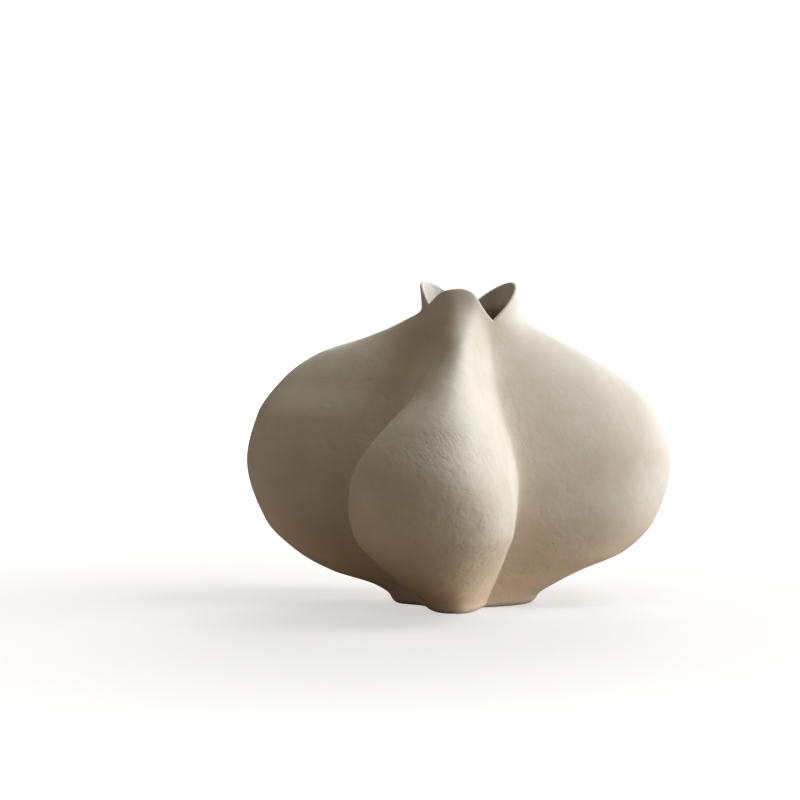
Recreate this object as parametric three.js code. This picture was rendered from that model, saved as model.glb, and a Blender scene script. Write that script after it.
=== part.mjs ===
import * as THREE from 'three';

// A hand-built stoneware vase in the form of a garlic bulb, in millimetres, +Z up.
// Three hollow cloves are luted together along three upright seams, round a floor slab.
// The origin is on the vase's axis, on the face that it rests on. Azimuths are degrees from
// the front (-Y) towards +X.

// Driving dimensions: thicknesses
const wallThickness = 5;
const lipThickness = 2.2;
const floorThickness = 6;
const seamCoilWidth = 11;
const seamCoilThickness = 2.6;
const floorCoilWidth = 5;
const floorCoilTop = 12;

// Driving dimensions: clearances between neighbouring pieces
const seamGap = 0.3;
const floorGap = 0.3;
const coilGap = 0.3;
const coilEndGap = 0.8;

// Driving dimensions: the levels at which the form is given
const level = {
  base: 0,
  foot: 6,
  ankle: 12,
  hollow: 20,
  underside: 32,
  lowerBelly: 52,
  belly: 90,
  upperBelly: 118,
  shoulder: 142,
  collar: 156,
  throat: 168,
  neckRoot: 178,
  neck: 186,
  rim: 202,
};

// Driving dimensions: the three seams. The radius is that of the valley outside the seam,
// softness is how wide the valley's bottom runs as a share of that radius, and the notch is
// how far the petals' edges fall below the rim where they meet.
const frontRightSeam = {
  azimuth: { base: 27, lowerBelly: 46, shoulder: 31, rim: 33.5 },
  radius: { base: 27, underside: 37.5, belly: 49, shoulder: 38, throat: 31.5, neck: 33, rim: 29 },
  softness: { base: 0.1, underside: 0.04, belly: 0.28, shoulder: 0.445, rim: 0.35 },
  notchDepth: 23,
};
const backSeam = {
  azimuth: { base: 180, rim: 180 },
  radius: { base: 28, underside: 42, belly: 56, shoulder: 46, throat: 28, neck: 23, rim: 23 },
  softness: { base: 0.4, underside: 0.36, belly: 0.47, shoulder: 0.58, rim: 0.35 },
  notchDepth: 19,
};
const frontLeftSeam = {
  azimuth: { base: -58.5, rim: -54.5 },
  radius: {
    base: 32.5,
    underside: 45,
    belly: 53.5,
    shoulder: 39.5,
    throat: 26,
    neck: 28.5,
    rim: 27.5,
  },
  softness: { base: 0.335, underside: 0.255, belly: 0.295, shoulder: 0.44, rim: 0.275 },
  notchDepth: 13,
};

// Driving dimensions: the three cloves. Reach is the radius of the clove's outermost line,
// fullness is how far the section runs on sideways there, as a share of that reach, and the
// petal's drop is how far its tip stays below the rim.
const frontClove = {
  name: 'front_clove',
  from: frontLeftSeam,
  to: frontRightSeam,
  petalDrop: 2.5,
  azimuth: { base: -9, hollow: -16.5, belly: -15, shoulder: -6, throat: -3, rim: -7.5 },
  reach: {
    base: 54,
    foot: 57.5,
    ankle: 66.5,
    hollow: 80.5,
    underside: 98,
    lowerBelly: 118.5,
    belly: 134,
    upperBelly: 127,
    shoulder: 109,
    collar: 90.5,
    throat: 69,
    neckRoot: 46.5,
    neck: 38,
    rim: 31.5,
  },
  fullness: {
    base: 0.31,
    hollow: 0.465,
    lowerBelly: 0.675,
    belly: 0.57,
    upperBelly: 0.42,
    shoulder: 0.21,
    throat: 0.135,
    rim: 0.465,
  },
};
const rightClove = {
  name: 'right_clove',
  from: frontRightSeam,
  to: backSeam,
  petalDrop: 0.7,
  azimuth: { base: 104, lowerBelly: 109.5, shoulder: 116, rim: 114.5 },
  reach: {
    base: 43,
    foot: 47.5,
    ankle: 57,
    hollow: 73,
    underside: 102,
    lowerBelly: 121.5,
    belly: 134,
    upperBelly: 125.5,
    shoulder: 103,
    collar: 80.5,
    throat: 57,
    neckRoot: 39.5,
    neck: 33.5,
    rim: 33,
  },
  fullness: {
    base: 0.58,
    hollow: 0.68,
    lowerBelly: 0.75,
    belly: 0.69,
    upperBelly: 0.71,
    shoulder: 0.7,
    throat: 0.67,
    rim: 0.53,
  },
};
const leftClove = {
  name: 'left_clove',
  from: backSeam,
  to: frontLeftSeam,
  petalDrop: 0,
  azimuth: { base: -106, rim: -111.5 },
  reach: {
    base: 45,
    foot: 48.5,
    ankle: 58.5,
    hollow: 85,
    underside: 107.5,
    lowerBelly: 128,
    belly: 140.5,
    upperBelly: 134,
    shoulder: 117,
    collar: 97,
    throat: 62,
    neckRoot: 39,
    neck: 26,
    rim: 28.5,
  },
  fullness: {
    base: 0.53,
    hollow: 0.65,
    lowerBelly: 0.69,
    belly: 0.67,
    upperBelly: 0.675,
    shoulder: 0.575,
    throat: 0.5,
    rim: 0.5,
  },
};
const cloves = [frontClove, rightClove, leftClove];

// Driving dimensions: how steeply the petals' edges fall, and how high above the floor the
// wall's thickness turns from level to square with the surface
const petalCurve = 1.6;
const coveRise = 10;

// Fineness of the facets
const rowSpacing = 9;
const columnsPerHalf = 12;
const coilColumns = 6;
const seamStride = 0.005;

// Colours of the fired clay
const outerClay = '#cfc6b8';
const floorClay = '#bdb0a0';
const coilClay = '#b5a898';

// Value of a profile at a height: a smooth curve through its levels that never overshoots them
function valueAt(profile, height) {
  const names = Object.keys(profile);
  const heights = names.map((name) => level[name]);
  const values = names.map((name) => profile[name]);
  const last = names.length - 1;
  const rises = heights.slice(1).map((upper, i) => upper - heights[i]);
  const slopes = rises.map((rise, i) => (values[i + 1] - values[i]) / rise);
  const tangentAt = (i) => {
    if (i === 0) return slopes[0];
    if (i === last) return slopes[last - 1];
    if (slopes[i - 1] * slopes[i] <= 0) return 0;
    const below = 2 * rises[i] + rises[i - 1];
    const above = rises[i] + 2 * rises[i - 1];
    return (below + above) / (below / slopes[i - 1] + above / slopes[i]);
  };
  let span = 0;
  while (span < last - 1 && height > heights[span + 1]) span += 1;
  const share = THREE.MathUtils.clamp((height - heights[span]) / rises[span], 0, 1);
  const square = share * share;
  const cube = square * share;
  return (
    (2 * cube - 3 * square + 1) * values[span] +
    (cube - 2 * square + share) * rises[span] * tangentAt(span) +
    (3 * square - 2 * cube) * values[span + 1] +
    (cube - square) * rises[span] * tangentAt(span + 1)
  );
}

// Horizontal unit vectors at an azimuth: straight out from the axis, and along the wall
function outward(azimuth) {
  const angle = THREE.MathUtils.degToRad(azimuth);
  return new THREE.Vector2(Math.sin(angle), -Math.cos(angle));
}

function sideways(azimuth) {
  const angle = THREE.MathUtils.degToRad(azimuth);
  return new THREE.Vector2(Math.cos(angle), Math.sin(angle));
}

// Place across a clove: -1 at its first seam, 0 on its outermost line, 1 at its second seam
function seamNear(clove, across) {
  return across < 0 ? clove.from : clove.to;
}

// Outer surface of a clove at a height: one smooth curve from each seam to the outermost line
function sectionPoint(clove, across, height) {
  const seam = seamNear(clove, across);
  const turn = across < 0 ? 1 : -1;
  const seamAzimuth = valueAt(seam.azimuth, height);
  const cloveAzimuth = valueAt(clove.azimuth, height);
  const valley = valueAt(seam.radius, height);
  const reach = valueAt(clove.reach, height);
  const softness = valley * valueAt(seam.softness, height);
  const fullness = reach * valueAt(clove.fullness, height);
  const start = outward(seamAzimuth).multiplyScalar(valley);
  const end = outward(cloveAzimuth).multiplyScalar(reach);
  const leaving = start.clone().addScaledVector(sideways(seamAzimuth), turn * softness);
  const arriving = end.clone().addScaledVector(sideways(cloveAzimuth), -turn * fullness);
  const point = new THREE.CubicBezierCurve(start, leaving, arriving, end).getPoint(1 - Math.abs(across));
  return new THREE.Vector3(point.x, point.y, height);
}

// Height of a row of the wall. Above the throat the rows close up to meet the petal's edge,
// which falls from the petal's tip to the notch at the seam.
function rowHeight(clove, across, row) {
  if (row <= level.throat) return row;
  const { notchDepth } = seamNear(clove, across);
  const fall = (notchDepth - clove.petalDrop) * Math.abs(across) ** petalCurve;
  const edge = level.rim - clove.petalDrop - fall;
  return level.throat + ((row - level.throat) * (edge - level.throat)) / (level.rim - level.throat);
}

// Thickness of the wall along a row, which thins from the root of the neck to the lip
function wallAt(row) {
  const share = THREE.MathUtils.smoothstep(row, level.neckRoot, level.rim);
  return THREE.MathUtils.lerp(wallThickness, lipThickness, share);
}

// Point below the outer surface of a clove by a depth. Beside the floor the depth is level, so
// that the slab's edge and the foot's ring stay flat.
function wallPoint(clove, across, row, depth) {
  const step = 0.001;
  const height = rowHeight(clove, across, row);
  const point = sectionPoint(clove, across, height);
  const before = sectionPoint(clove, Math.max(across - step, across < 0 ? -1 : 0), height);
  const after = sectionPoint(clove, Math.min(across + step, across < 0 ? -step / 2 : 1), height);
  const above = sectionPoint(clove, across, height + step);
  const below = sectionPoint(clove, across, height - step);
  const normal = after.sub(before).cross(above.sub(below)).normalize();
  normal.z *= THREE.MathUtils.smoothstep(height, floorThickness, floorThickness + coveRise);
  return point.addScaledVector(normal.normalize(), -depth);
}

// Rows of the wall, with every level and the floor's top among them
function wallRows() {
  const stops = [...new Set([...Object.values(level), floorThickness])].sort((a, b) => a - b);
  const rows = [stops[0]];
  for (let i = 1; i < stops.length; i += 1) {
    const parts = Math.ceil((stops[i] - stops[i - 1]) / rowSpacing);
    for (let part = 1; part <= parts; part += 1) {
      rows.push(stops[i - 1] + ((stops[i] - stops[i - 1]) * part) / parts);
    }
  }
  return rows;
}

// Places across a whole clove, from seam to seam
function placesAcross() {
  const places = [];
  for (let i = -columnsPerHalf; i <= columnsPerHalf; i += 1) places.push(i / columnsPerHalf);
  return places;
}

// Geometry of a closed body from its corner points and faces of three or four corners
function bodyFrom(points, faces) {
  const geometry = new THREE.BufferGeometry().setFromPoints(points);
  const index = [];
  for (const [a, b, c, d] of faces) {
    index.push(a, b, c);
    if (d !== undefined) index.push(a, c, d);
  }
  geometry.setIndex(index);
  geometry.computeVertexNormals();
  return geometry;
}

// Closed body between an outer and an inner skin, each a grid of rows and columns
function bodyBetween(outer, inner) {
  const rows = outer.length;
  const columns = outer[0].length;
  const points = [...outer.flat(), ...inner.flat()];
  const outside = (row, column) => row * columns + column;
  const inside = (row, column) => rows * columns + outside(row, column);
  const faces = [];
  for (let row = 0; row < rows - 1; row += 1) {
    for (let column = 0; column < columns - 1; column += 1) {
      const quad = [[row, column], [row, column + 1], [row + 1, column + 1], [row + 1, column]];
      faces.push(quad.map(([r, c]) => outside(r, c)));
      faces.push(quad.map(([r, c]) => inside(r, c)).reverse());
    }
    const end = columns - 1;
    faces.push([outside(row, 0), outside(row + 1, 0), inside(row + 1, 0), inside(row, 0)]);
    faces.push([outside(row + 1, end), outside(row, end), inside(row, end), inside(row + 1, end)]);
  }
  for (let column = 0; column < columns - 1; column += 1) {
    const top = rows - 1;
    faces.push([outside(0, column + 1), outside(0, column), inside(0, column), inside(0, column + 1)]);
    faces.push([outside(top, column), outside(top, column + 1), inside(top, column + 1), inside(top, column)]);
  }
  return bodyFrom(points, faces);
}

// Clove: a press-moulded wall from foot to petal, with its edges kept clear of the seam's middle
function cloveGeometry(clove) {
  const skin = (depthAt) =>
    wallRows().map((row) =>
      placesAcross().map((across) => {
        const point = wallPoint(clove, across, row, depthAt(row));
        if (Math.abs(across) < 1) return point;
        const azimuth = valueAt(seamNear(clove, across).azimuth, rowHeight(clove, across, row));
        const clear = sideways(azimuth).multiplyScalar((-across * seamGap) / 2);
        return point.add(new THREE.Vector3(clear.x, clear.y, 0));
      }),
    );
  return bodyBetween(skin(() => 0), skin(wallAt));
}

// Outline that runs once round the inside of the three cloves, a depth below their outer surface
function outlineInside(row, depth) {
  const points = [];
  for (const clove of cloves) {
    for (const across of placesAcross().slice(0, -1)) points.push(wallPoint(clove, across, row, depth));
  }
  return points;
}

// Floor: a flat slab that fits inside the foot of the cloves
function floorGeometry() {
  const rows = wallRows().filter((row) => row <= floorThickness);
  const loops = rows.map((row) => outlineInside(row, wallThickness + floorGap));
  const count = loops[0].length;
  const faces = [];
  for (let row = 0; row < rows.length - 1; row += 1) {
    for (let i = 0; i < count; i += 1) {
      const next = (i + 1) % count;
      faces.push([row * count + i, row * count + next, (row + 1) * count + next, (row + 1) * count + i]);
    }
  }
  const topStart = (rows.length - 1) * count;
  const flat = loops[0].map((point) => new THREE.Vector2(point.x, point.y));
  for (const [a, b, c] of THREE.ShapeUtils.triangulateShape(flat, [])) {
    faces.push([c, b, a]);
    faces.push([topStart + a, topStart + b, topStart + c]);
  }
  return bodyFrom(loops.flat(), faces);
}

// Floor coil: a fillet of clay pressed into the corner between the floor and the walls
function floorCoilGeometry() {
  const against = wallThickness + coilGap;
  const lifted = (point) => point.add(new THREE.Vector3(0, 0, coilGap));
  const loops = [
    outlineInside(floorThickness, against).map(lifted),
    outlineInside(floorThickness, against + floorCoilWidth).map(lifted),
    outlineInside(floorCoilTop, against + floorCoilWidth / 2),
    outlineInside(floorCoilTop, against),
  ];
  const count = loops[0].length;
  const faces = [];
  loops.forEach((loop, side) => {
    const nextSide = (side + 1) % loops.length;
    for (let i = 0; i < count; i += 1) {
      const next = (i + 1) % count;
      faces.push([side * count + i, nextSide * count + i, nextSide * count + next, side * count + next]);
    }
  });
  return bodyFrom(loops.flat(), faces);
}

// Place across a clove at a distance from one of its seams, walked along the section in steps
function placeFromSeam(clove, seamSide, height, distance) {
  let share = 0;
  let walked = 0;
  let stride = 0;
  let here = sectionPoint(clove, seamSide, height);
  while (walked < distance) {
    share += seamStride;
    const next = sectionPoint(clove, seamSide * (1 - share), height);
    stride = next.distanceTo(here);
    walked += stride;
    here = next;
  }
  if (stride > 0) share -= (seamStride * (walked - distance)) / stride;
  return seamSide * (1 - share);
}

// Seam coil: a flattened coil of clay pressed over the inside of the seam between two cloves
function seamCoilGeometry(leftOfSeam, rightOfSeam) {
  const first = floorCoilTop + coilEndGap;
  const rows = [first, ...wallRows().filter((row) => row > first + coilEndGap && row <= level.throat)];
  const skin = (thicknessAt) =>
    rows.map((row) => {
      const points = [];
      for (let i = -coilColumns / 2; i <= coilColumns / 2; i += 1) {
        const share = (2 * i) / coilColumns;
        const distance = (Math.abs(share) * seamCoilWidth) / 2;
        const clove = share < 0 ? leftOfSeam : rightOfSeam;
        const across = placeFromSeam(clove, share < 0 ? 1 : -1, row, distance);
        points.push(wallPoint(clove, across, row, wallThickness + coilGap + thicknessAt(share)));
      }
      return points;
    });
  const crown = (share) => seamCoilThickness * Math.sqrt(1 - 0.9 * share * share);
  return bodyBetween(skin(() => 0), skin(crown));
}

// One named piece of fired clay
function piece(name, geometry, colour, roughness) {
  const material = new THREE.MeshStandardMaterial({ color: colour, roughness, metalness: 0 });
  const mesh = new THREE.Mesh(geometry, material);
  mesh.name = name;
  return mesh;
}

const vase = new THREE.Group();
for (const clove of cloves) vase.add(piece(clove.name, cloveGeometry(clove), outerClay, 0.9));
vase.add(piece('floor_slab', floorGeometry(), floorClay, 0.92));
vase.add(piece('floor_joint_coil', floorCoilGeometry(), coilClay, 0.95));
vase.add(piece('front_right_seam_coil', seamCoilGeometry(frontClove, rightClove), coilClay, 0.95));
vase.add(piece('back_seam_coil', seamCoilGeometry(rightClove, leftClove), coilClay, 0.95));
vase.add(piece('front_left_seam_coil', seamCoilGeometry(leftClove, frontClove), coilClay, 0.95));

export default vase;
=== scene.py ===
import math

import bmesh
import bpy
import numpy as np
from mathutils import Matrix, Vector, noise


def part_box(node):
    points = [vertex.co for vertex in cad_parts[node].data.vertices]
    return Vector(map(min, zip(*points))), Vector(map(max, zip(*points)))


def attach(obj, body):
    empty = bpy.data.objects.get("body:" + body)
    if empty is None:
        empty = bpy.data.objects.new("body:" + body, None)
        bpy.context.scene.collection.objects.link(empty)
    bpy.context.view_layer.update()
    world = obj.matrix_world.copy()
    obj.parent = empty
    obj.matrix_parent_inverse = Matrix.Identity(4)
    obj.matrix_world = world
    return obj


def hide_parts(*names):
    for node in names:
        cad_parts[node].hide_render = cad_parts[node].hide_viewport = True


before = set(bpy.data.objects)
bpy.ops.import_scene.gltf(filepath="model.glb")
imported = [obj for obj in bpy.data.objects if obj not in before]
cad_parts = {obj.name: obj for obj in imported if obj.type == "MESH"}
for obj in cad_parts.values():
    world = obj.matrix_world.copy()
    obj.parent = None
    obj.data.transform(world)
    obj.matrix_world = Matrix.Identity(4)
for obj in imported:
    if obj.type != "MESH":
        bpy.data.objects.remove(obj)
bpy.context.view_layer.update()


# Cloves
# The vase is one hand-built stoneware form of three hollow cloves. Each is a press-moulded wall
# that runs from its foot to its lip petal, scraped and rubbed by hand, so that it isn't quite
# even. It is luted to its neighbours along upright seams, where the fired clay shows no line.

# The heights at which the outline is given, and the valley outside each seam: where it lies, how
# softly the wall leaves it, and how deep its notch in the rim is. Lengths are in metres, and
# azimuths are in degrees from the front (-Y) towards +X.
LEVEL = {
    "base": 0.0,
    "foot": 0.006,
    "ankle": 0.012,
    "hollow": 0.020,
    "underside": 0.032,
    "lower_belly": 0.052,
    "belly": 0.090,
    "upper_belly": 0.118,
    "shoulder": 0.142,
    "collar": 0.156,
    "throat": 0.168,
    "neck_root": 0.178,
    "neck": 0.186,
    "rim": 0.202,
}

front_right_seam = {
    "azimuth": {"base": 27, "lower_belly": 46, "shoulder": 31, "rim": 33.5},
    "radius": {"base": 0.027, "underside": 0.0375, "belly": 0.049, "shoulder": 0.038,
               "throat": 0.0315, "neck": 0.033, "rim": 0.029},
    "softness": {"base": 0.10, "underside": 0.04, "belly": 0.28, "shoulder": 0.445, "rim": 0.35},
    "notch_depth": 0.023,
}
back_seam = {
    "azimuth": {"base": 180, "rim": 180},
    "radius": {"base": 0.028, "underside": 0.042, "belly": 0.056, "shoulder": 0.046,
               "throat": 0.028, "neck": 0.023, "rim": 0.023},
    "softness": {"base": 0.40, "underside": 0.36, "belly": 0.47, "shoulder": 0.58, "rim": 0.35},
    "notch_depth": 0.019,
}
front_left_seam = {
    "azimuth": {"base": -58.5, "rim": -54.5},
    "radius": {"base": 0.0325, "underside": 0.045, "belly": 0.0535, "shoulder": 0.0395,
               "throat": 0.026, "neck": 0.0285, "rim": 0.0275},
    "softness": {"base": 0.335, "underside": 0.255, "belly": 0.295, "shoulder": 0.44, "rim": 0.275},
    "notch_depth": 0.013,
}

# The outermost line of each clove, how full the clove swells on both sides of that line, and how
# far the tip of its petal stays below the rim's level.
CLOVES = [
    {
        "node": "front_clove", "from": front_left_seam, "to": front_right_seam, "petal_drop": 0.0025,
        "azimuth": {"base": -9, "hollow": -16.5, "belly": -15, "shoulder": -6, "throat": -3,
                    "rim": -7.5},
        "reach": {"base": 0.054, "foot": 0.0575, "ankle": 0.0665, "hollow": 0.0805,
                  "underside": 0.098, "lower_belly": 0.1185, "belly": 0.134, "upper_belly": 0.127,
                  "shoulder": 0.109, "collar": 0.0905, "throat": 0.069, "neck_root": 0.0465,
                  "neck": 0.038, "rim": 0.0315},
        "fullness": {"base": 0.31, "hollow": 0.465, "lower_belly": 0.675, "belly": 0.57,
                     "upper_belly": 0.42, "shoulder": 0.21, "throat": 0.135, "rim": 0.465},
    },
    {
        "node": "right_clove", "from": front_right_seam, "to": back_seam, "petal_drop": 0.0007,
        "azimuth": {"base": 104, "lower_belly": 109.5, "shoulder": 116, "rim": 114.5},
        "reach": {"base": 0.043, "foot": 0.0475, "ankle": 0.057, "hollow": 0.073,
                  "underside": 0.102, "lower_belly": 0.1215, "belly": 0.134, "upper_belly": 0.1255,
                  "shoulder": 0.103, "collar": 0.0805, "throat": 0.057, "neck_root": 0.0395,
                  "neck": 0.0335, "rim": 0.033},
        "fullness": {"base": 0.58, "hollow": 0.68, "lower_belly": 0.75, "belly": 0.69,
                     "upper_belly": 0.71, "shoulder": 0.70, "throat": 0.67, "rim": 0.53},
    },
    {
        "node": "left_clove", "from": back_seam, "to": front_left_seam, "petal_drop": 0.0,
        "azimuth": {"base": -106, "rim": -111.5},
        "reach": {"base": 0.045, "foot": 0.0485, "ankle": 0.0585, "hollow": 0.085,
                  "underside": 0.1075, "lower_belly": 0.128, "belly": 0.1405, "upper_belly": 0.134,
                  "shoulder": 0.117, "collar": 0.097, "throat": 0.062, "neck_root": 0.039,
                  "neck": 0.026, "rim": 0.0285},
        "fullness": {"base": 0.53, "hollow": 0.65, "lower_belly": 0.69, "belly": 0.67,
                     "upper_belly": 0.675, "shoulder": 0.575, "throat": 0.50, "rim": 0.50},
    },
]

WALL = 0.005
LIP = 0.0022
PETAL_CURVE = 1.6
COVE_RISE = 0.010
FLOOR_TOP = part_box("floor_slab")[1][2]
FOOT_ROUNDING = 0.0028
HAND_HOLLOW_SIZE = 0.045
HAND_HOLLOW_DEPTH = 0.0004
FINGER_DENT_SIZE = 0.009
FINGER_DENT_DEPTH = 0.00007
RUBBED_SEAM_SHARE = 0.12


def value_at(profile, heights):
    """Smooth curve through a profile's levels that never overshoots them."""
    xs = np.array([LEVEL[name] for name in profile])
    ys = np.array([float(value) for value in profile.values()])
    rise = np.diff(xs)
    slope = np.diff(ys) / rise
    tangent = np.zeros(len(xs))
    tangent[0], tangent[-1] = slope[0], slope[-1]
    for i in range(1, len(xs) - 1):
        if slope[i - 1] * slope[i] > 0:
            below = 2 * rise[i] + rise[i - 1]
            above = rise[i] + 2 * rise[i - 1]
            tangent[i] = (below + above) / (below / slope[i - 1] + above / slope[i])
    heights = np.asarray(heights, float)
    span = np.clip(np.searchsorted(xs, heights) - 1, 0, len(rise) - 1)
    t = np.clip((heights - xs[span]) / rise[span], 0, 1)
    return ((2 * t**3 - 3 * t**2 + 1) * ys[span]
            + (t**3 - 2 * t**2 + t) * rise[span] * tangent[span]
            + (3 * t**2 - 2 * t**3) * ys[span + 1]
            + (t**3 - t**2) * rise[span] * tangent[span + 1])


def outward(azimuth):
    """Level direction that points away from the vase's axis."""
    return np.stack([np.sin(np.radians(azimuth)), -np.cos(np.radians(azimuth))], -1)


def sideways(azimuth):
    """Level direction along the vase's wall, towards larger azimuths."""
    return np.stack([np.cos(np.radians(azimuth)), np.sin(np.radians(azimuth))], -1)


def smoothly(value, low, high):
    """Share of the way from low to high, with a soft start and end."""
    share = np.clip((value - low) / (high - low), 0, 1)
    return share * share * (3 - 2 * share)


def of_length_one(vectors):
    return vectors / np.linalg.norm(vectors, axis=-1, keepdims=True)


def section_points(clove, across, height):
    """Outer surface of a clove: across runs from -1 at its first seam to 1 at its second."""
    first = across < 0
    turn = np.where(first, 1.0, -1.0)[..., None]

    def seam_value(key):
        return np.where(first, value_at(clove["from"][key], height), value_at(clove["to"][key], height))

    seam_azimuth = seam_value("azimuth")
    azimuth = value_at(clove["azimuth"], height)
    valley = seam_value("radius")[..., None]
    softness = seam_value("softness")[..., None]
    reach = value_at(clove["reach"], height)[..., None]
    fullness = value_at(clove["fullness"], height)[..., None]
    start = outward(seam_azimuth) * valley
    end = outward(azimuth) * reach
    leaving = start + sideways(seam_azimuth) * turn * valley * softness
    arriving = end - sideways(azimuth) * turn * reach * fullness
    t = (1 - np.abs(across))[..., None]
    flat = ((1 - t)**3 * start + 3 * (1 - t)**2 * t * leaving
            + 3 * (1 - t) * t**2 * arriving + t**3 * end)
    return np.concatenate([flat, height[..., None]], -1)


def row_height(clove, across, row):
    """Rows close up above the throat to meet the petal's edge, half a lip below its top."""
    notch_depth = np.where(across < 0, clove["from"]["notch_depth"], clove["to"]["notch_depth"])
    fall = (notch_depth - clove["petal_drop"]) * np.abs(across)**PETAL_CURVE
    edge = LEVEL["rim"] - clove["petal_drop"] - fall - LIP / 2
    throat = LEVEL["throat"]
    closed_up = throat + (row - throat) * (edge - throat) / (LEVEL["rim"] - throat)
    return np.where(row <= throat, row, closed_up)


def surface_normal(clove, across, height):
    """Which way the outside faces, from the surface a small step away on each side."""
    across_step = 1e-4
    height_step = 1e-5
    low = np.where(across < 0, -1.0, 0.0)
    high = np.where(across < 0, -across_step / 2, 1.0)
    before = section_points(clove, np.maximum(across - across_step, low), height)
    after = section_points(clove, np.minimum(across + across_step, high), height)
    above = section_points(clove, across, height + height_step)
    below = section_points(clove, across, height - height_step)
    return of_length_one(np.cross(after - before, above - below))


def hollows(points, size, depth):
    """Depth of shallow hollows of about this size, which dip below the surface and never rise."""
    flat = [noise.noise(Vector(point) / size) for point in points.reshape(-1, 3)]
    return depth * (0.5 + 0.5 * np.array(flat).reshape(points.shape[:-1]))


def clove_rows():
    """Rows round the foot's edge, then at even steps up to the rim."""
    foot_rows = 6
    row_spacing = 0.0013
    turns = np.linspace(0, math.pi / 2, foot_rows)
    rounding = FOOT_ROUNDING * (1 - np.cos(turns))
    steps = round((LEVEL["rim"] - FOOT_ROUNDING) / row_spacing)
    even = np.linspace(FOOT_ROUNDING, LEVEL["rim"], steps + 1)
    return np.concatenate([rounding, even[1:]])


def clove_columns():
    """Columns from seam to seam, closer together towards each seam."""
    columns_per_half = 84
    seam_closeness = 0.45
    share = np.linspace(0, 1, columns_per_half + 1)
    from_seam = share * (seam_closeness + (1 - seam_closeness) * share)
    return np.concatenate([from_seam - 1, (1 - from_seam)[-2::-1]])


def scraped_outside(base, normal, across, row):
    """The outside, dipped by shallow hollows and drawn in round the foot's lower edge."""
    height = base[..., 2]
    below_lip = 1 - smoothly(row, LEVEL["neck"], LEVEL["rim"])
    off_foot = smoothly(height, FOOT_ROUNDING, LEVEL["foot"])
    off_seam = smoothly(1 - np.abs(across), 0, RUBBED_SEAM_SHARE)
    marks = (hollows(base, HAND_HOLLOW_SIZE, HAND_HOLLOW_DEPTH)
             + hollows(base, FINGER_DENT_SIZE, FINGER_DENT_DEPTH) * off_seam)
    outside = base - normal * (marks * below_lip * off_foot)[..., None]
    under = np.clip(FOOT_ROUNDING - height, 0, FOOT_ROUNDING)
    inset = FOOT_ROUNDING - np.sqrt(FOOT_ROUNDING**2 - under**2)
    return outside - of_length_one(normal * (1, 1, 0)) * inset[..., None]


def inner_wall(base, normal, row):
    """The inside, and the way through the wall: level behind the floor, square to it above."""
    height = base[..., 2]
    through = normal.copy()
    through[..., 2] *= smoothly(height, FLOOR_TOP, FLOOR_TOP + COVE_RISE)
    through = of_length_one(through)
    thickness = WALL + (LIP - WALL) * smoothly(row, LEVEL["neck_root"], LEVEL["rim"])
    return base - through * thickness[..., None], through


def rounded_lip(clove, top, normal):
    """Rows over the lip, from the outside's top row to the inside's."""
    lip_steps = 8
    along = np.gradient(top, axis=0)
    along[[0, -1]] = 0
    along[0, :2] = sideways(value_at(clove["from"]["azimuth"], LEVEL["rim"]))
    along[-1, :2] = sideways(value_at(clove["to"]["azimuth"], LEVEL["rim"]))
    up = of_length_one(np.cross(normal, along))
    up *= np.sign(up[:, 2:])
    lip = []
    for angle in np.linspace(0, math.pi, lip_steps + 1)[1:-1]:
        depth = LIP / 2 * (1 - math.cos(angle))
        lip.append(top - normal * depth + up * LIP / 2 * math.sin(angle))
    return np.array(lip)


def clove_skin(clove):
    """Rows of points up the outside, over the rounded lip and down the inside."""
    rows = clove_rows()
    row, across = np.meshgrid(rows, clove_columns(), indexing="ij")
    height = row_height(clove, across, row)
    base = section_points(clove, across, height)
    normal = surface_normal(clove, across, height)
    outside = scraped_outside(base, normal, across, row)
    lip = rounded_lip(clove, base[-1], normal[-1])
    inside, through = inner_wall(base, normal, row)
    skin = np.concatenate([outside, lip, inside[::-1]])
    facing = np.concatenate([normal, np.zeros(lip.shape), -through[::-1]])
    return skin, facing, len(rows)


def chain(bm, corners):
    """Edges of a mesh that join a run of its vertices, one after the other."""
    return [bm.edges.get((bm.verts[a], bm.verts[b])) for a, b in zip(corners, corners[1:])]


def clove_mesh(clove):
    """A grid laid over the skin's points, closed under the foot and along both seams."""
    skin, facing, rows = clove_skin(clove)
    total, columns = skin.shape[:2]
    bm = bmesh.new()
    bmesh.ops.create_grid(bm, x_segments=columns - 1, y_segments=total - 1, size=1)
    bm.verts.ensure_lookup_table()
    for vertex, place in zip(bm.verts, skin.reshape(-1, 3)):
        vertex.co = place
    foot_outside = list(range(columns))
    foot_inside = [(total - 1) * columns + column for column in range(columns)]
    pairs = [(foot_outside, foot_inside)]
    for column in (0, columns - 1):
        side = [row * columns + column for row in range(total)]
        pairs.append((side[:rows], side[total - rows:]))
    for one, other in pairs:
        ends = chain(bm, one) + chain(bm, other)
        for edge in ends:
            edge.smooth = False
        bmesh.ops.bridge_loops(bm, edges=ends)
    bmesh.ops.holes_fill(bm, edges=[edge for edge in bm.edges if edge.is_boundary], sides=0)
    bmesh.ops.recalc_face_normals(bm, faces=bm.faces)
    mesh = bpy.data.meshes.new(clove["node"] + "_wall")
    bm.to_mesh(mesh)
    bm.free()
    mesh.shade_smooth()
    blend_at_seams(mesh, facing, total, columns)
    return mesh


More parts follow.
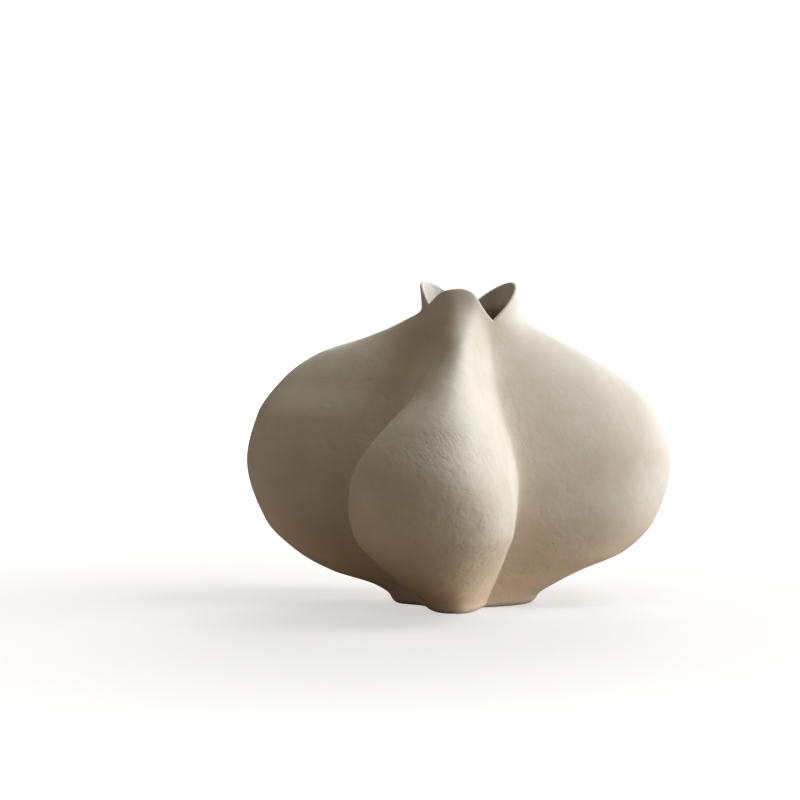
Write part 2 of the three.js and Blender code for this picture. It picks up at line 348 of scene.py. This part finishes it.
def blend_at_seams(mesh, facing, total, columns):
    """Shade both cloves alike where they meet, so that the seam shows no line."""
    corner = np.empty(len(mesh.loops), int)
    mesh.loops.foreach_get("vertex_index", corner)
    # The grid's own faces come first. A direction of zero keeps a corner's usual shading.
    shading = np.zeros((len(corner), 3))
    on_skin = corner[:4 * (total - 1) * (columns - 1)]
    at_seam = np.isin(on_skin % columns, (0, columns - 1))
    shading[:len(on_skin)][at_seam] = facing.reshape(-1, 3)[on_skin[at_seam]]
    mesh.normals_split_custom_set(shading.tolist())


# The clay is an off-white, sandy stoneware, fired without glaze, so it is matt. Fine sand shows
# as grain and a few darker specks, a scraper left faint slanting strokes, and the clay is tinted
# darker and warmer towards the foot, below a wavy line.
CLAY_PALE = (0.735, 0.675, 0.595, 1)
CLAY_WARM = (0.665, 0.595, 0.505, 1)
# The darker, warmer tint towards the foot.
CLAY_DARKER_LOW = (0.60, 0.495, 0.385, 1)
SPECK_BROWN = (0.36, 0.27, 0.19, 1)
CLAY_PATCH = 0.05
CLAY_MOTTLE = 0.007
WARM_SAND = 0.0009
SPECK_SPACING = 0.004
# How high the darker, warmer tint towards the foot reaches, and the wave in its upper edge.
LOW_TINT_TOP = 0.060
LOW_TINT_WAVE = 0.02
LOW_TINT_WAVE_HEIGHT = 0.006
CLAY_SPECULAR = 0.2
DULL_PATCH = 0.004
SMOOTHEST, ROUGHEST = 0.82, 0.96
STROKE_SLANT = math.radians(58)
STROKE_SIZE = (0.0100, 0.0034, 0.0034)
CRUMB = 0.0026
SCRAPED_PATCH = 0.030
LUMP = 0.0075
LUMPY_PATCH = 0.040
ROUGHEST_PLACE = (0.015, -0.12, 0.075)
ROUGHEST_RADIUS = 0.05
SMOOTHER_RADIUS = 0.13
GRAIN = 0.0011
PIT_SPACING = 0.0062
MARK_DEPTH = 0.0002
MARK_STRENGTH = 0.6


def bisque_stoneware():
    material = bpy.data.materials.new("bisque_stoneware")
    material.use_nodes = True
    nodes = material.node_tree.nodes
    links = material.node_tree.links
    shader = nodes["Principled BSDF"]
    shader.inputs["Specular IOR Level"].default_value = CLAY_SPECULAR
    place = nodes.new("ShaderNodeTexCoord").outputs["Object"]

    def blots(size, detail=3.0, source=place, warp=0.0):
        """Noise whose blots are about this size, in metres."""
        texture = nodes.new("ShaderNodeTexNoise")
        texture.inputs["Scale"].default_value = 1 / size
        texture.inputs["Detail"].default_value = detail
        texture.inputs["Roughness"].default_value = 0.6
        texture.inputs["Distortion"].default_value = warp
        links.new(source, texture.inputs["Vector"])
        return texture.outputs["Fac"]

    def dots(spacing):
        """Distance to the nearest of many scattered grains, as a share of their spacing."""
        texture = nodes.new("ShaderNodeTexVoronoi")
        texture.inputs["Scale"].default_value = 1 / spacing
        links.new(place, texture.inputs["Vector"])
        return texture.outputs["Distance"]

    def spread(value, low, high, start=0.0, end=1.0):
        """Stretch the range from low to high over the range from start to end."""
        stretch = nodes.new("ShaderNodeMapRange")
        links.new(value, stretch.inputs["Value"])
        for socket, number in zip(("From Min", "From Max", "To Min", "To Max"), (low, high, start, end)):
            stretch.inputs[socket].default_value = number
        return stretch.outputs["Result"]

    def combined(operation, one, other):
        sum_or_product = nodes.new("ShaderNodeMath")
        sum_or_product.operation = operation
        links.new(one, sum_or_product.inputs[0])
        links.new(other, sum_or_product.inputs[1])
        return sum_or_product.outputs["Value"]

    def tinted(share, clay, other):
        """The clay where share is 0, and the other colour where it is 1."""
        mix = nodes.new("ShaderNodeMix")
        mix.data_type = "RGBA"
        links.new(share, mix.inputs["Factor"])
        mix.inputs["B"].default_value = other
        if isinstance(clay, tuple):
            mix.inputs["A"].default_value = clay
        else:
            links.new(clay, mix.inputs["A"])
        return mix.outputs["Result"]

    height = nodes.new("ShaderNodeSeparateXYZ")
    links.new(place, height.inputs["Vector"])
    wave = spread(blots(LOW_TINT_WAVE), 0.3, 0.7, -LOW_TINT_WAVE_HEIGHT, LOW_TINT_WAVE_HEIGHT)
    uneven_height = combined("ADD", height.outputs["Z"], wave)

    clay = tinted(spread(blots(CLAY_PATCH), 0.35, 0.65), CLAY_PALE, CLAY_WARM)
    clay = tinted(spread(blots(CLAY_MOTTLE), 0.45, 0.75, 0, 0.35), clay, CLAY_WARM)
    # Tinted darker and warmer towards the foot, up to a wavy line.
    clay = tinted(spread(uneven_height, LOW_TINT_TOP, 0, 0, 0.8), clay, CLAY_DARKER_LOW)
    clay = tinted(spread(blots(WARM_SAND), 0.55, 0.8, 0, 0.4), clay, CLAY_WARM)
    clay = tinted(spread(dots(SPECK_SPACING), 0.10, 0.04, 0, 0.45), clay, SPECK_BROWN)
    links.new(clay, shader.inputs["Base Color"])
    roughness = spread(blots(DULL_PATCH), 0.3, 0.7, SMOOTHEST, ROUGHEST)
    links.new(roughness, shader.inputs["Roughness"])

    # Strokes and crumbs lie in patches, lumps lie all over, and all three are strongest on the
    # belly of the front clove.
    slant = nodes.new("ShaderNodeMapping")
    slant.vector_type = "TEXTURE"
    slant.inputs["Rotation"].default_value = (0, STROKE_SLANT, 0)
    slant.inputs["Scale"].default_value = STROKE_SIZE
    links.new(place, slant.inputs["Vector"])
    strokes = spread(blots(1.0, 2.0, slant.outputs["Vector"], 0.35), 0.3, 0.7)
    crumbs = spread(blots(CRUMB, 2.0, warp=0.5), 0.3, 0.7, 0, 0.8)
    in_patches = spread(blots(SCRAPED_PATCH), 0.42, 0.60)
    marks = combined("MULTIPLY", combined("ADD", strokes, crumbs), in_patches)
    lumpier = spread(blots(LUMPY_PATCH), 0.42, 0.62, 0.6, 2.2)
    lumps = combined("MULTIPLY", spread(blots(LUMP, 1.0, warp=0.4), 0.3, 0.7), lumpier)
    from_roughest = nodes.new("ShaderNodeVectorMath")
    from_roughest.operation = "DISTANCE"
    from_roughest.inputs[1].default_value = ROUGHEST_PLACE
    links.new(place, from_roughest.inputs[0])
    left_rough = spread(from_roughest.outputs["Value"], ROUGHEST_RADIUS, SMOOTHER_RADIUS, 1.0, 0.4)
    marks = combined("MULTIPLY", combined("ADD", marks, lumps), left_rough)
    grain = combined("ADD", spread(blots(GRAIN, 2.0), 0, 1, 0, 0.25), marks)
    pits = spread(dots(PIT_SPACING), 0.11, 0.05, 0, -0.8)
    bump = nodes.new("ShaderNodeBump")
    bump.inputs["Strength"].default_value = MARK_STRENGTH
    bump.inputs["Distance"].default_value = MARK_DEPTH
    links.new(combined("ADD", grain, pits), bump.inputs["Height"])
    links.new(bump.outputs["Normal"], shader.inputs["Normal"])
    return material


bisque = bisque_stoneware()

for clove in CLOVES:
    wall = bpy.data.objects.new(clove["node"] + "_wall", clove_mesh(clove))
    bpy.context.collection.objects.link(wall)
    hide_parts(clove["node"])
    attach(wall, "root")
    wall.data.materials.append(bisque)


# Floor and joint coils
# The floor is a slab cut to the inside of the foot. Coils of soft clay are pressed over its edge
# and over the inside of each seam, then smoothed, and fire to the same clay as the walls.
for name in ("floor_slab", "floor_joint_coil", "front_right_seam_coil", "back_seam_coil",
             "front_left_seam_coil"):
    inner_piece = bpy.data.objects[name]
    inner_piece.data.materials.clear()
    inner_piece.data.materials.append(bisque)


# Studio
# A plain pale floor that runs into an equally pale background. The camera sees it white, with a
# soft shadow round the foot, while the vase gets the dimmer, warmer light of a table top.
FLOOR_SIZE = 60
FLOOR_CLEARANCE = 0.0002
FLOOR_SHADE = (0.28, 0.27, 0.26, 1)
FLOOR_BOUNCE = (0.45, 0.38, 0.30, 1)
FOOT_BOUNCE = (0.76, 0.64, 0.51, 1)
FOOT_BOUNCE_PLACE = (0.015, -0.06, 0)
FOOT_BOUNCE_RADIUS = (0.03, 0.07)
BACKDROP_WHITE = (1, 0.995, 0.985, 1)
BACKDROP_GLOW = 0.72
FOOT_GLOW = 0.44
FOOT_GLOW_RADIUS = (0, 1.1)


def pale_floor():
    material = bpy.data.materials.new("pale_floor")
    material.use_nodes = True
    nodes = material.node_tree.nodes
    links = material.node_tree.links
    place = nodes.new("ShaderNodeTexCoord").outputs["Object"]
    seen = nodes.new("ShaderNodeLightPath").outputs["Is Camera Ray"]

    def distance_from(centre):
        distance = nodes.new("ShaderNodeVectorMath")
        distance.operation = "DISTANCE"
        distance.inputs[1].default_value = centre
        links.new(place, distance.inputs[0])
        return distance.outputs["Value"]

    def eased(value, radius, start, end):
        """Goes softly from start to end between the two radii."""
        step = nodes.new("ShaderNodeMapRange")
        step.interpolation_type = "SMOOTHSTEP"
        links.new(value, step.inputs["Value"])
        for socket, number in zip(("From Min", "From Max", "To Min", "To Max"), (*radius, start, end)):
            step.inputs[socket].default_value = number
        return step.outputs["Result"]

    bounce = nodes.new("ShaderNodeMix")
    bounce.data_type = "RGBA"
    bounce.inputs["A"].default_value = FOOT_BOUNCE
    bounce.inputs["B"].default_value = FLOOR_BOUNCE
    off_foot = eased(distance_from(FOOT_BOUNCE_PLACE), FOOT_BOUNCE_RADIUS, 0, 1)
    links.new(off_foot, bounce.inputs["Factor"])
    colour = nodes.new("ShaderNodeMix")
    colour.data_type = "RGBA"
    colour.inputs["B"].default_value = FLOOR_SHADE
    links.new(bounce.outputs["Result"], colour.inputs["A"])
    links.new(seen, colour.inputs["Factor"])
    glow = nodes.new("ShaderNodeMath")
    glow.operation = "MULTIPLY"
    links.new(seen, glow.inputs[0])
    brightness = eased(distance_from((0, 0, 0)), FOOT_GLOW_RADIUS, FOOT_GLOW, BACKDROP_GLOW)
    links.new(brightness, glow.inputs[1])
    shader = nodes["Principled BSDF"]
    shader.inputs["Roughness"].default_value = 1.0
    shader.inputs["Specular IOR Level"].default_value = 0.0
    shader.inputs["Emission Color"].default_value = BACKDROP_WHITE
    links.new(colour.outputs["Result"], shader.inputs["Base Color"])
    links.new(glow.outputs["Value"], shader.inputs["Emission Strength"])
    return material


bpy.ops.mesh.primitive_plane_add(size=FLOOR_SIZE, location=(0, 0, -FLOOR_CLEARANCE))
ground = bpy.context.object
ground.name = "studio_floor"
ground.data.materials.append(pale_floor())

world = bpy.data.worlds.new("studio")
world.use_nodes = True
backdrop = world.node_tree.nodes["Background"]
backdrop.inputs["Color"].default_value = BACKDROP_WHITE
seen = world.node_tree.nodes.new("ShaderNodeLightPath").outputs["Is Camera Ray"]
strength = world.node_tree.nodes.new("ShaderNodeMath")
strength.operation = "MULTIPLY"
strength.inputs[1].default_value = BACKDROP_GLOW
world.node_tree.links.new(seen, strength.inputs[0])
world.node_tree.links.new(strength.outputs["Value"], backdrop.inputs["Strength"])
bpy.context.scene.world = world

# The lamps are large soft discs that face the middle of the vase, all at one distance from it.
LIGHT_DISTANCE = 2.5


def soft_light(name, azimuth, rise, size, power, colour):
    data = bpy.data.lights.new(name, "AREA")
    data.shape = "ELLIPSE"
    data.size, data.size_y = size
    data.energy = power
    data.color = colour
    light = bpy.data.objects.new(name, data)
    flat = outward(azimuth) * math.cos(math.radians(rise))
    away = Vector((*flat, math.sin(math.radians(rise))))
    light.location = Vector((0, 0, LEVEL["rim"] / 2)) + LIGHT_DISTANCE * away
    light.rotation_euler = away.to_track_quat("Z", "Y").to_euler()
    light.visible_camera = False
    bpy.context.collection.objects.link(light)


soft_light("window_light", azimuth=80, rise=6, size=(2.2, 1.2), power=42.5, colour=(0.90, 0.94, 0.99))
soft_light("high_window_light", azimuth=86, rise=52, size=(1.6, 1.6), power=29, colour=(0.80, 0.87, 0.99))
soft_light("back_light", azimuth=170, rise=20, size=(1.6, 1.6), power=49, colour=(1.0, 0.99, 0.97))
soft_light("fill_light", azimuth=-60, rise=12, size=(1.6, 1.2), power=6.8, colour=(1.0, 0.92, 0.91))
soft_light("top_light", azimuth=0, rise=85, size=(1.6, 1.6), power=9.5, colour=(1.0, 0.97, 0.76))


# Camera
# It stands a little over two metres in front of the vase, looks slightly down on it, and has the
# vase right of the picture's centre.
CAMERA_DISTANCE = 2.15
CAMERA_RISE = math.radians(5)
PIXELS_PER_METRE = 1594
PICTURE = 800
SENSOR = 36
AXIS_PIXEL = (465.5, 443.0)
camera_data = bpy.data.cameras.new("camera")
camera_data.sensor_width = SENSOR
camera_data.lens = SENSOR * CAMERA_DISTANCE * PIXELS_PER_METRE / PICTURE
camera_data.shift_x = (PICTURE / 2 - AXIS_PIXEL[0]) / PICTURE
camera_data.shift_y = (AXIS_PIXEL[1] - PICTURE / 2) / PICTURE
camera = bpy.data.objects.new("camera", camera_data)
aim = Vector((0, 0, LEVEL["rim"] / 2))
camera.location = aim + CAMERA_DISTANCE * Vector((0, -math.cos(CAMERA_RISE), math.sin(CAMERA_RISE)))
camera.rotation_euler = (aim - camera.location).to_track_quat("-Z", "Y").to_euler()
bpy.context.collection.objects.link(camera)
bpy.context.scene.camera = camera
bpy.context.scene.view_settings.view_transform = "Standard"
bpy.context.scene.view_settings.look = "High Contrast"
